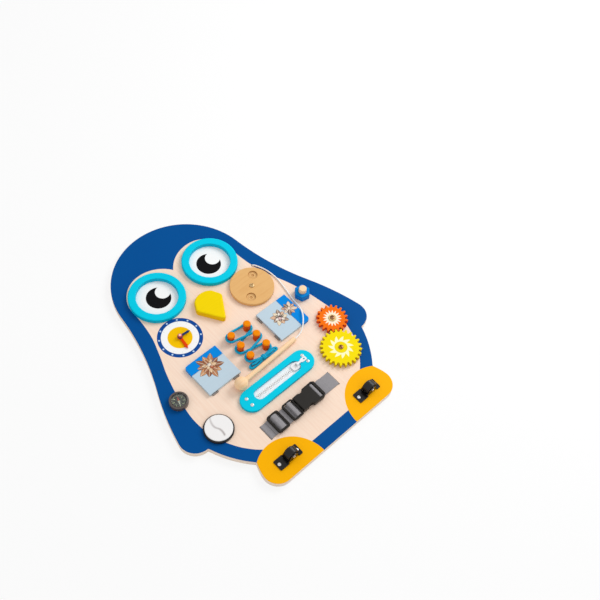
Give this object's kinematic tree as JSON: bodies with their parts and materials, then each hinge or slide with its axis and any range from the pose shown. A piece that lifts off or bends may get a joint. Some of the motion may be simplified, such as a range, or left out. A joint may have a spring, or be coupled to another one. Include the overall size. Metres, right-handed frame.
{
  "type": "wooden busy board",
  "caption": "Penguin-shaped plywood activity board with a clock, flaps, lacing posts, zipper, buckle, gears, rollers, a compass, a mirror and a tethered mallet.",
  "frame": {"origin": "centre of the bounding box of the board's back face, at its lowest level", "axes": "+Z out of the printed face, +Y towards the head, +X to the right as the face is seen"},
  "size_m": [0.2902, 0.37, 0.0246],
  "materials": {
    "board_wood": "plywood with satin blue, orange and bare printed areas",
    "wood_cyan": "cyan painted wood",
    "wood_yellow": "yellow painted wood",
    "wood_orange": "orange painted wood",
    "wood_blue": "blue painted wood",
    "wood_pale_blue": "pale blue painted wood with a brown printed motif",
    "wood_tan": "tan varnished wood",
    "wood_bare": "bare sanded wood",
    "hand_blue": "blue painted wood",
    "hand_red": "red painted wood",
    "knob_red": "gloss red knob",
    "steel": "zinc-plated steel",
    "brass": "plain brass",
    "lace_blue": "round braided polyester lace",
    "cord_white": "thin twisted cotton cord",
    "webbing_grey": "woven polypropylene webbing",
    "tape_white": "woven zipper tape",
    "teeth_white": "moulded zipper teeth",
    "slider_metal": "plated zipper slider",
    "buckle_black": "black acetal",
    "compass_black": "gloss black case",
    "card_dark": "printed dial",
    "needle_red": "painted steel needle",
    "clear_lens": "clear lens",
    "mirror_black": "black bevelled holder",
    "mirror_face": "acrylic mirror",
    "bracket_black": "black nylon bracket",
    "tyre_black": "black rubber tyre"
  },
  "bodies": {
    "board": {"board": "board_wood", "left_eye_ring": "wood_cyan", "right_eye_ring": "wood_cyan", "beak": "wood_yellow", "clock_pin": "knob_red", "pivot_washers": "steel", "pivot_screws": "steel", "cup_washer": "brass", "lace": "lace_blue", "lace_bow": "lace_blue", "lacing_posts": "wood_orange", "nut_stud": "wood_bare", "zipper_frame": "wood_cyan", "zipper_screws": "steel", "zipper_tape_upper": "tape_white", "zipper_tape_lower": "tape_white", "zipper_teeth_upper": "teeth_white", "zipper_teeth_lower": "teeth_white", "zipper_stops": "teeth_white", "left_strap": "webbing_grey", "buckle_female": "buckle_black", "right_strap": "webbing_grey", "compass_case": "compass_black", "compass_card": "card_dark", "compass_pivot": "brass", "compass_lens": "clear_lens", "mirror_backing": "mirror_black", "mirror_plate": "mirror_face", "tether": "cord_white", "roller_screws": "steel", "left_flap_strip": "wood_blue", "left_hinge_fixed": "steel", "left_roller_bracket": "bracket_black", "left_roller_axle": "steel", "right_flap_strip": "wood_blue", "right_hinge_fixed": "steel", "right_roller_bracket": "bracket_black", "right_roller_axle": "steel"},
    "minute_hand": {"minute_hand": "hand_red"},
    "hour_hand": {"hour_hand": "hand_blue"},
    "spin_disc": {"spin_disc": "wood_tan"},
    "left_flap": {"left_flap": "wood_pale_blue", "left_hinge_moving": "steel"},
    "right_flap": {"right_flap": "wood_pale_blue", "right_hinge_moving": "steel"},
    "hex_nut": {"hex_nut": "wood_blue"},
    "zipper_slider": {"zipper_slider": "slider_metal"},
    "pull_tab": {"pull_tab": "slider_metal"},
    "buckle_male": {"buckle_male": "buckle_black", "tri_glide": "buckle_black", "left_strap_return": "webbing_grey"},
    "compass_needle": {"compass_needle": "needle_red"},
    "yellow_gear": {"yellow_gear": "wood_yellow"},
    "orange_gear": {"orange_gear": "wood_orange"},
    "left_roller": {"left_roller_wheel": "tyre_black"},
    "right_roller": {"right_roller_wheel": "tyre_black"},
    "mallet": {"mallet_ball": "wood_bare", "mallet_stick": "wood_bare"}
  },
  "joints": [
    {"name": "minute_hand_turn", "type": "hinge", "parent": "board", "child": "minute_hand", "pos_m": [-0.056, 0.0345, 0.009], "axis": [0, 0, 1], "continuous": true},
    {"name": "hour_hand_turn", "type": "hinge", "parent": "board", "child": "hour_hand", "pos_m": [-0.056, 0.0345, 0.011], "axis": [0, 0, 1], "continuous": true},
    {"name": "spin_disc_turn", "type": "hinge", "parent": "board", "child": "spin_disc", "pos_m": [0.0578, 0.0327, 0.011], "axis": [0, 0, 1], "continuous": true},
    {"name": "left_flap_lift", "type": "hinge", "parent": "board", "child": "left_flap", "pos_m": [-0.0565, -0.0504, 0.0087], "axis": [1, 0, 0], "range_deg": [0, 90]},
    {"name": "right_flap_lift", "type": "hinge", "parent": "board", "child": "right_flap", "pos_m": [0.0324, -0.0263, 0.0087], "axis": [0, -1, 0], "range_deg": [0, 90]},
    {"name": "hex_nut_turn", "type": "hinge", "parent": "board", "child": "hex_nut", "pos_m": [0.0984, -0.0161, 0.013], "axis": [0, 0, 1], "continuous": true},
    {"name": "zipper_slide", "type": "slide", "parent": "board", "child": "zipper_slider", "axis": [-1, 0, 0], "range_m": [0, 0.055]},
    {"name": "pull_tab_swing", "type": "hinge", "parent": "zipper_slider", "child": "pull_tab", "pos_m": [0.024, -0.0861, 0.0129], "axis": [0, -1, 0], "range_deg": [0, 150]},
    {"name": "buckle_release", "type": "slide", "parent": "board", "child": "buckle_male", "axis": [-1, 0, 0], "range_m": [0, 0.0205]},
    {"name": "compass_needle_turn", "type": "hinge", "parent": "board", "child": "compass_needle", "pos_m": [-0.1116, -0.0318, 0.0115], "axis": [0, 0, 1], "continuous": true},
    {"name": "yellow_gear_turn", "type": "hinge", "parent": "board", "child": "yellow_gear", "pos_m": [0.0797, -0.1042, 0.0113], "axis": [0, 0, 1], "continuous": true},
    {"name": "orange_gear_turn", "type": "hinge", "parent": "board", "child": "orange_gear", "pos_m": [0.10071, -0.06766, 0.0113], "axis": [0, 0, 1], "continuous": true},
    {"name": "left_roller_turn", "type": "hinge", "parent": "board", "child": "left_roller", "pos_m": [-0.0598, -0.1645, 0.0144], "axis": [0, 1, 0], "continuous": true},
    {"name": "right_roller_turn", "type": "hinge", "parent": "board", "child": "right_roller", "pos_m": [0.067, -0.1645, 0.0144], "axis": [0, 1, 0], "continuous": true},
    {"name": "mallet_lift", "type": "slide", "parent": "board", "child": "mallet", "axis": [0, 0, 1], "range_m": [0, 0.03]}
  ],
  "couplings": [
    {"joint": "orange_gear_turn", "follows": "yellow_gear_turn", "ratio": -1.3333}
  ]
}
